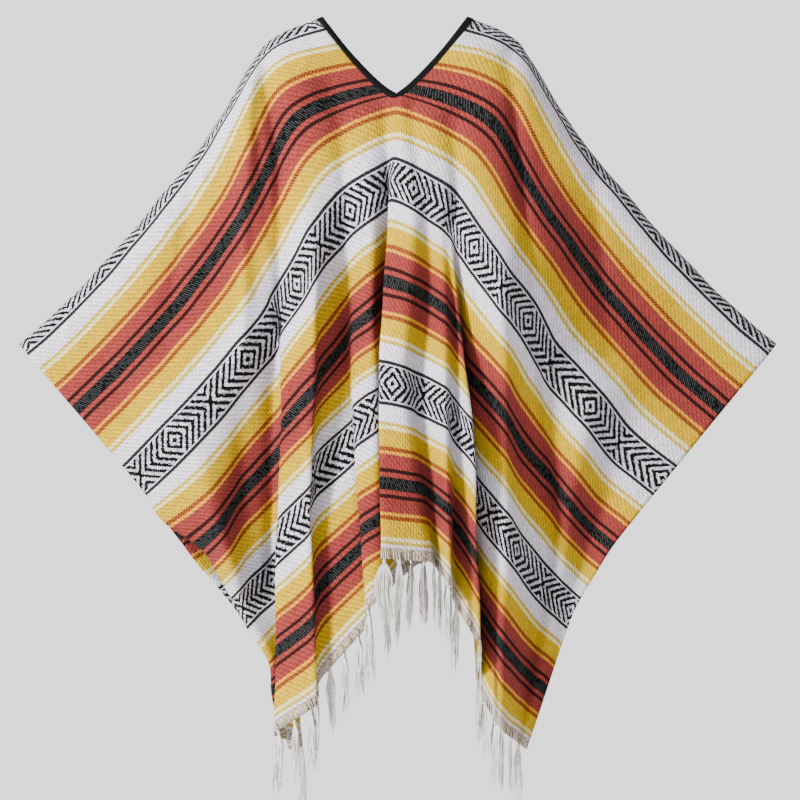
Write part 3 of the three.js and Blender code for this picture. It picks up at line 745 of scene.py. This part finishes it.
fringes = []
for back in (False, True):
    yarns = Tubes(5)
    for number in range(len(BUNCHES)):
        if number not in FRINGE_CAUGHT:
            add_bunch(yarns, number, back)
    fringe = yarns.piece("fringe_yarns_back" if back else "fringe_yarns_front")
    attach(fringe, "root")
    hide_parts("fringe_back" if back else "fringe_front")
    fringes.append(fringe)

# Overcast stitches round each hem, from one face of the cloth over its edge to the other.
overcast = Tubes(4)
for back in (False, True):
    for s in np.arange(-HALF_S + OVERCAST_INSET, HALF_S - OVERCAST_INSET, OVERCAST_STEP):
        side = 1 if s >= 0 else -1
        here, fall, _, out = hem_frame(s)
        depth = random.uniform(*OVERCAST_DEPTH)
        lean = random.uniform(*OVERCAST_LEAN)
        high = front(s - lean if abs(s) > OVERCAST_MIDDLE else s, HEM_T - depth, side)[0]
        half = CLOTH_THICKNESS / 2 + OVERCAST_OUT
        tucked = out * (half - OVERCAST_TUCK)
        middle = (high + here) / 2
        rounded = out * half * OVERCAST_ROUND
        below = fall * OVERCAST_BELOW
        path = [
            high + tucked, middle + out * half, here + rounded + below,
            here - rounded + below, middle - out * half, high - tucked,
        ]
        overcast.add(turned(path, back), OVERCAST_RADII, seed=random.random())
hem_stitches = overcast.piece("hem_stitches")
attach(hem_stitches, "root")


# Materials
class Look:
    """A node material with short names for its usual nodes."""

    MIX_A, MIX_B, MIX_RESULT = 6, 7, 2  # the mix node's sockets for colours

    def __init__(self, name):
        self.material = bpy.data.materials.new(name)
        self.material.use_nodes = True
        self.nodes = self.material.node_tree.nodes
        self.links = self.material.node_tree.links
        self.shader = self.nodes["Principled BSDF"]

    def put(self, socket, value):
        if isinstance(value, bpy.types.NodeSocket):
            self.links.new(value, socket)
        else:
            socket.default_value = value

    def surface(self, roughness, specular=None, sheen=None):
        """The shader's constants, where they aren't its usual ones."""
        self.shader.inputs["Roughness"].default_value = roughness
        if specular is not None:
            self.shader.inputs["Specular IOR Level"].default_value = specular
        if sheen is not None:
            self.shader.inputs["Sheen Weight"].default_value = sheen

    def math(self, operation, a, b=0.0, c=0.0):
        node = self.nodes.new("ShaderNodeMath")
        node.operation = operation
        for socket, value in zip(node.inputs, (a, b, c)):
            self.put(socket, value)
        return node.outputs[0]

    def mix(self, factor, a, b, blend="MIX"):
        node = self.nodes.new("ShaderNodeMix")
        node.data_type = "RGBA"
        node.blend_type = blend
        self.put(node.inputs["Factor"], factor)
        self.put(node.inputs[self.MIX_A], a)
        self.put(node.inputs[self.MIX_B], b)
        return node.outputs[self.MIX_RESULT]

    def between(self, x, low, high, soft):
        """1 where x is between low and high, with soft edges."""
        up = self.math("MULTIPLY_ADD", x, 1 / soft, 0.5 - low / soft)
        down = self.math("MULTIPLY_ADD", x, -1 / soft, 0.5 + high / soft)
        node = self.math("MINIMUM", up, down)
        return self.math("MINIMUM", self.math("MAXIMUM", node, 0.0), 1.0)

    def centred(self, x, reach):
        """A value from 0 to 1 turned into one of that reach about 0."""
        return self.math("MULTIPLY_ADD", x, reach, -reach / 2)

    def wave(self, x, period):
        """The arch of |sin|, 0 at whole periods and 1 between them."""
        return self.math("ABSOLUTE", self.math("SINE", self.math("MULTIPLY", x, math.pi / period)))

    def cell(self, x, size):
        return self.math("FLOOR", self.math("DIVIDE", x, size))

    def cell_middle(self, x, size):
        return self.math("MULTIPLY", self.math("ADD", self.cell(x, size), 0.5), size)

    def part(self, x, size):
        """How far x is through its cell, 0 to 1."""
        return self.math("FRACT", self.math("DIVIDE", x, size))

    def pair(self, x, y):
        vector = self.nodes.new("ShaderNodeCombineXYZ")
        self.put(vector.inputs[0], x)
        self.put(vector.inputs[1], y)
        return vector.outputs[0]

    def noise(self, x, y, scale=1.0, detail=2.0):
        """A noise of two coordinates, about 0 to 1."""
        node = self.nodes.new("ShaderNodeTexNoise")
        node.inputs["Scale"].default_value = scale
        node.inputs["Detail"].default_value = detail
        self.links.new(self.pair(x, y), node.inputs["Vector"])
        return node.outputs["Fac"]

    def random(self, x, y):
        """A random number for each whole x and y."""
        node = self.nodes.new("ShaderNodeTexWhiteNoise")
        node.noise_dimensions = "2D"
        self.links.new(self.pair(x, y), node.inputs["Vector"])
        return node.outputs["Value"]

    def cloth_place(self):
        """The two coordinates that the mesh carries."""
        uv_node = self.nodes.new("ShaderNodeUVMap")
        uv_node.uv_map = "cloth_place"
        split = self.nodes.new("ShaderNodeSeparateXYZ")
        self.links.new(uv_node.outputs[0], split.inputs[0])
        return split.outputs[0], split.outputs[1]

    def grain(self, scale, detail=2.0):
        """Fine noise in the object's own space."""
        place = self.nodes.new("ShaderNodeTexCoord")
        node = self.nodes.new("ShaderNodeTexNoise")
        node.inputs["Scale"].default_value = scale
        node.inputs["Detail"].default_value = detail
        self.links.new(place.outputs["Object"], node.inputs["Vector"])
        return node.outputs["Fac"]

    def bump(self, height, distance, strength):
        node = self.nodes.new("ShaderNodeBump")
        node.inputs["Strength"].default_value = strength
        node.inputs["Distance"].default_value = distance
        self.links.new(height, node.inputs["Height"])
        self.links.new(node.outputs["Normal"], self.shader.inputs["Normal"])


# Colours of the yarns as reflectances, red, green and blue.
WHITE = (0.36, 0.335, 0.375, 1)
THIN_YELLOW = (0.27, 0.19, 0.025, 1)
CREAM = (0.38, 0.33, 0.17, 1)
YELLOW = (0.285, 0.175, 0.003, 1)
BROWN = (0.085, 0.014, 0.006, 1)
ORANGE = (0.34, 0.145, 0.008, 1)
RED = (0.127, 0.0195, 0.0165, 1)
BLACK = (0.0020, 0.0020, 0.0023, 1)
RIB_GREY = (0.045, 0.047, 0.047, 1)
EDGE = (0.25, 0.21, 0.16, 1)
FLECK = (0.09, 0.05, 0.022, 1)

# The weave, in the units of s and t.
PERIOD = 203.0         # from one diamond band to the next
SHOULDER_BAND = 7.0    # how far down the front the shoulder's diamond band has its middle
RIB = 2.85             # one warp rib
BEAD = 1.55            # one row of weft on a rib
RIB_STEP = 0.3         # how much higher one rib takes the stripes than the next
WEFT_DRIFT = 3.0       # how far the weft wanders up and down
STRIPES = [            # distance from a diamond band's middle at which each colour starts
    (0.0, WHITE),
    (39.5, THIN_YELLOW),
    (43.2, CREAM),
    (47.0, YELLOW),
    (64.6, ORANGE),
    (72.0, RED),
    (95.0, BLACK),
]
STRIPE_SOFT = 0.45     # half the width over which two stripes meet
# Thin lines laid like two-ply cord: the two distances between which each lies, how its dashes
# slant, their share of it, how much stronger it is on a dash, its strength beside one, its colour.
BROWN_LINE = (64.5, 68.9, 0.9, 0.74, 0.45, 0.53, BROWN)
BLACK_LINE = (86.4, 90.3, -0.9, 0.78, 0.34, 0.64, BLACK)
BAND_LINE = (18.9, 22.6, 1.1, 0.8, 0.1, 0.9, BLACK)
LINE_SOFT = 0.8
DASH = 3.1
# The diamonds, as rings one in another.
DIAMOND_S = 29.0       # where a diamond has its middle, and half the way to the next
DIAMOND_HALF = 53.0
BAND_HALF = 17.6       # half the band's width
RING = 8.83            # from one ring to the next
RING_SLOPE = 0.9       # a ring's slope up the band
RING_START = 0.20
RING_DARK = 0.57       # share of a ring that is dark
RING_UNEVEN = 5.0
SPECKS = 0.66          # dark specks on the band's ground lie where a random number is above this
SPECK_STRENGTH = 0.5
# The hems' edge.
EDGE_HIGH = 11.5       # how far up from the hem it reaches
EDGE_BELOW = -20.0
EDGE_SOFT = 1.6
FLECK_HIGH = 1.2
FLECKS = 0.6
FLECK_STRENGTH = 0.55
# Pale floats on the black stripes.
FLOAT_FROM = 95.6      # distance from a diamond band's middle at which they start
FLOAT = 2.3            # from one float to the next, and its share of that
FLOAT_SHARE = 0.3
FLOAT_SLANT = 0.45
FLOAT_LONG = 2.6
FLOAT_BROKEN = 0.25    # share of them that is broken off
FLOAT_STRENGTH = 0.6


def cord_line(look, colour, m, s, line):
    """One of the thin lines laid over the colour."""
    low, high, slant, share, stronger, beside, line_colour = line
    dash = look.math("LESS_THAN", look.part(look.math("MULTIPLY_ADD", m, slant, s), DASH), share)
    strength = look.math("MULTIPLY_ADD", dash, stronger, beside)
    there = look.between(m, low, high, LINE_SOFT)
    return look.mix(look.math("MULTIPLY", there, strength), colour, line_colour)


def striped(look, m):
    """The broad stripes by the distance from a diamond band's middle."""
    half = PERIOD / 2
    soft = STRIPE_SOFT / half
    ramp = look.nodes.new("ShaderNodeValToRGB")
    ramp.color_ramp.interpolation = "LINEAR"
    elements = ramp.color_ramp.elements
    elements[0].position, elements[0].color = 0.0, STRIPES[0][1]
    elements[1].position, elements[1].color = 1.0, STRIPES[-1][1]
    for before, (start, colour) in zip(STRIPES, STRIPES[1:]):
        first = elements.new(start / half - soft)
        first.color = before[1]
        second = elements.new(start / half + soft)
        second.color = colour
    look.links.new(look.math("DIVIDE", m, half), ramp.inputs[0])
    return ramp.outputs[0]


def diamonds(look, colour, s, t, m):
    """The diamond band, stepped by half ribs and wefts, over the colour."""
    across = look.cell_middle(s, RIB / 2)
    high = look.cell_middle(m, BEAD)
    from_diamond = look.math("PINGPONG", look.math("SUBTRACT", across, DIAMOND_S), DIAMOND_HALF)
    rings = look.math("MULTIPLY_ADD", high, RING_SLOPE, from_diamond)
    uneven = look.centred(look.noise(s, t, 0.3, 3.0), RING_UNEVEN)
    ring = look.math("MULTIPLY_ADD", look.math("ADD", rings, uneven), 1 / RING, RING_START)
    line = look.math("LESS_THAN", look.math("FRACT", ring), RING_DARK)
    inside = look.math("LESS_THAN", m, BAND_HALF)
    specks = look.math("GREATER_THAN", look.random(look.cell(s, RIB / 2), look.cell(t, BEAD)), SPECKS)
    speckled = look.math("MULTIPLY", specks, look.math("MULTIPLY", inside, SPECK_STRENGTH))
    ground = look.mix(speckled, colour, BLACK)
    return look.mix(look.math("MULTIPLY", line, inside), ground, BLACK)


def hem_edge(look, colour, t_hem, t, rib):
    """A cream edge at the hems, flecked by its stitches. Also gives where it is."""
    from_hem = look.math("SUBTRACT", HEM_T, look.math("ABSOLUTE", t_hem))
    edge = look.between(from_hem, EDGE_BELOW, EDGE_HIGH, EDGE_SOFT)
    colour = look.mix(edge, colour, EDGE)
    fleck = look.math("GREATER_THAN", look.random(rib, look.cell(t, FLECK_HIGH)), FLECKS)
    flecks = look.math("MULTIPLY", edge, fleck)
    return look.mix(look.math("MULTIPLY", flecks, FLECK_STRENGTH), colour, FLECK), edge


def pale_floats(look, colour, s, t, m, edge):
    """Pale floats of warp across the black stripes, slanting a little, broken here and there."""
    slant = look.math("MULTIPLY_ADD", t, FLOAT_SLANT, s)
    pale = look.math("LESS_THAN", look.part(slant, FLOAT), FLOAT_SHARE)
    cells = look.random(look.cell(slant, FLOAT), look.cell(t, FLOAT_LONG))
    unbroken = look.math("GREATER_THAN", cells, FLOAT_BROKEN)
    above = look.math("GREATER_THAN", m, FLOAT_FROM)
    on_black = look.math("MULTIPLY", above, look.math("SUBTRACT", 1.0, edge))
    floats = look.math("MULTIPLY", look.math("MULTIPLY", pale, unbroken), on_black)
    return look.mix(look.math("MULTIPLY", floats, FLOAT_STRENGTH), colour, RIB_GREY)


def woven():
    look = Look("woven_stripes")
    u, v = look.cloth_place()
    s = look.math("MULTIPLY_ADD", u, 2 * HALF_S, -HALF_S)
    t_hem = look.math("MULTIPLY_ADD", v, 2 * HEM_T, -HEM_T)
    # The weft isn't laid quite straight, and each rib starts it a little higher or lower.
    drift = look.centred(look.noise(s, t_hem, 0.02), WEFT_DRIFT)
    rib = look.cell(s, RIB)
    rib_odd = look.math("PINGPONG", rib, 1.0)
    t = look.math("ADD", look.math("ADD", t_hem, SHOULDER_BAND), drift)
    m_smooth = look.math("PINGPONG", t, PERIOD / 2)
    m = look.math("ADD", m_smooth, look.centred(rib_odd, RIB_STEP))
    colour = striped(look, m)
    colour = cord_line(look, colour, m_smooth, s, BROWN_LINE)
    colour = cord_line(look, colour, m_smooth, s, BLACK_LINE)
    colour = diamonds(look, colour, s, t, m_smooth)
    colour = cord_line(look, colour, m_smooth, s, BAND_LINE)
    colour, edge = hem_edge(look, colour, t_hem, t, rib)
    colour = pale_floats(look, colour, s, t, m, edge)

    # Relief of ribs and wefts, also painted into the colour as shade in their hollows, twill flecks, and
    # the small change of tone from yarn to yarn.
    shifted = look.math("MULTIPLY_ADD", rib_odd, BEAD / 2, t)
    rib_relief = look.math("MULTIPLY", look.wave(s, RIB), 0.55)
    height = look.math("MULTIPLY_ADD", look.wave(shifted, BEAD), 0.45, rib_relief)
    yarn = look.random(look.cell(s, RIB / 2), look.cell(shifted, BEAD))
    twill = look.part(look.math("ADD", look.cell(s, RIB / 2), look.cell(t, BEAD)), 4.0)
    dark = look.math("MULTIPLY", look.math("LESS_THAN", twill, 0.3), look.math("GREATER_THAN", yarn, 0.35))
    fuzz = look.noise(s, t, 1.6, 3.0)
    cloudy = look.noise(s, t, 0.05, 3.0)
    # painted shade: the colour is darker where the relief is low, in the hollows between ribs and wefts
    tone_and_hollow_shade = look.math("MULTIPLY_ADD", height, 0.46, 0.66)
    tone_and_hollow_shade = look.math("ADD", tone_and_hollow_shade, look.math("MULTIPLY_ADD", yarn, 0.46, -0.18))
    tone_and_hollow_shade = look.math("ADD", tone_and_hollow_shade, look.centred(fuzz, 0.5))
    tone_and_hollow_shade = look.math("ADD", tone_and_hollow_shade, look.centred(cloudy, 0.14))
    tone_and_hollow_shade = look.math("MULTIPLY", tone_and_hollow_shade, look.math("MULTIPLY_ADD", dark, -0.42, 1.0))
    shade = look.nodes.new("ShaderNodeCombineColor")
    for socket in shade.inputs:
        look.put(socket, tone_and_hollow_shade)
    look.put(look.shader.inputs["Base Color"], look.mix(1.0, colour, shade.outputs[0], "MULTIPLY"))
    look.surface(0.92, specular=0.03, sheen=0.01)
    look.shader.inputs["Sheen Roughness"].default_value = 0.5
    look.bump(look.math("ADD", height, look.math("MULTIPLY", fuzz, 0.35)), 0.0009, 0.7)
    return look.material


def yarn_look(name, base, dark, roughness=0.95, flecked=()):
    """Spun yarn: a slanted twist, painted darker in its grooves as shade, and uneven tone. Flecked yarn
    has strands of other colours.
    """
    look = Look(name)
    seed, along = look.cloth_place()
    grain = look.grain(420.0, 3.0)
    slant = look.wave(look.math("MULTIPLY_ADD", seed, 3.0, look.math("MULTIPLY", along, 26.0)), 1.0)
    # partly painted shade in the grooves of the twist, partly random tone from the grain
    tone_and_hollow_shade = look.math("MULTIPLY_ADD", slant, 0.35, look.math("MULTIPLY", grain, 0.65))
    colour = look.mix(tone_and_hollow_shade, dark, base)
    for least, other in flecked:
        colour = look.mix(look.math("GREATER_THAN", seed, least), colour, other)
    look.put(look.shader.inputs["Base Color"], colour)
    look.surface(roughness, specular=0.1, sheen=0.04)
    look.bump(tone_and_hollow_shade, 0.0004, 0.5)
    return look.material


def tape_look():
    """Black woven tape: fine diagonal ribs, painted a little darker between them as shade, and uneven
    grain.
    """
    look = Look("black_tape")
    across, along = look.cloth_place()
    slant = look.math("MULTIPLY_ADD", across, 6.0, look.math("MULTIPLY", along, 620.0))
    rib = look.wave(slant, 1.0)
    tone_and_hollow_shade = look.math("MULTIPLY_ADD", rib, 0.5, look.math("MULTIPLY", look.grain(900.0), 0.5))
    # the darker black is for the painted shade between the ribs and for the grain
    colour = look.mix(tone_and_hollow_shade, (0.001, 0.001, 0.0011, 1), (0.0035, 0.0035, 0.0038, 1))
    look.put(look.shader.inputs["Base Color"], colour)
    look.surface(0.9, specular=0.03)
    look.bump(tone_and_hollow_shade, 0.0003, 0.5)
    return look.material


# Each yarn's colour, then the darker colour of its uneven grain and of the painted shade in its twist's
# grooves.
THREAD = ((0.005, 0.005, 0.0055, 1), (0.002, 0.002, 0.002, 1))
CREAM_YARN = ((0.42, 0.40, 0.375, 1), (0.27, 0.25, 0.225, 1))
HEM_YARN = ((0.42, 0.38, 0.34, 1), (0.26, 0.22, 0.18, 1))
HEM_FLECKS = [         # from which seed up a stitch has another colour
    (0.66, (0.20, 0.12, 0.025, 1)),
    (0.80, (0.07, 0.03, 0.016, 1)),
    (0.91, (0.012, 0.012, 0.012, 1)),
]
cloth.data.materials.append(woven())
binding.data.materials.append(tape_look())
tape_stitches.data.materials.append(yarn_look("black_thread", *THREAD, roughness=0.7))
cream_yarn = yarn_look("cream_yarn", *CREAM_YARN)
for piece in fringes:
    piece.data.materials.append(cream_yarn)
hem_stitches.data.materials.append(yarn_look("hem_yarn", *HEM_YARN, flecked=HEM_FLECKS))

# Floor and light
FLOOR_Z = -1.45
FLOOR_HALF = 4.2
corners = [(-1, -1), (1, -1), (1, 1), (-1, 1)]
floor = new_piece("floor", [(x * FLOOR_HALF, y * FLOOR_HALF, FLOOR_Z) for x, y in corners], [(0, 1, 2, 3)])
look = Look("pale_floor")
look.shader.inputs["Base Color"].default_value = (0.86, 0.86, 0.86, 1)
look.surface(0.9)
floor.data.materials.append(look.material)

world = bpy.data.worlds.new("studio")
bpy.context.scene.world = world
world.use_nodes = True
background = world.node_tree.nodes["Background"]
background.inputs[0].default_value = (1.0, 1.0, 1.0, 1)
background.inputs[1].default_value = 1.8

KEY_PLACE = (-4.4, -3.6, 1.9)
KEY_AIM = (0, 0, -0.55)
key_data = bpy.data.lights.new("key", "AREA")
key_data.shape = "DISK"
key_data.size = 1.3
key_data.energy = 1900
key = bpy.data.objects.new("key", key_data)
bpy.context.collection.objects.link(key)
key.location = KEY_PLACE
key.rotation_euler = Vector(np.array(KEY_AIM) - np.array(KEY_PLACE)).to_track_quat("-Z", "Y").to_euler()
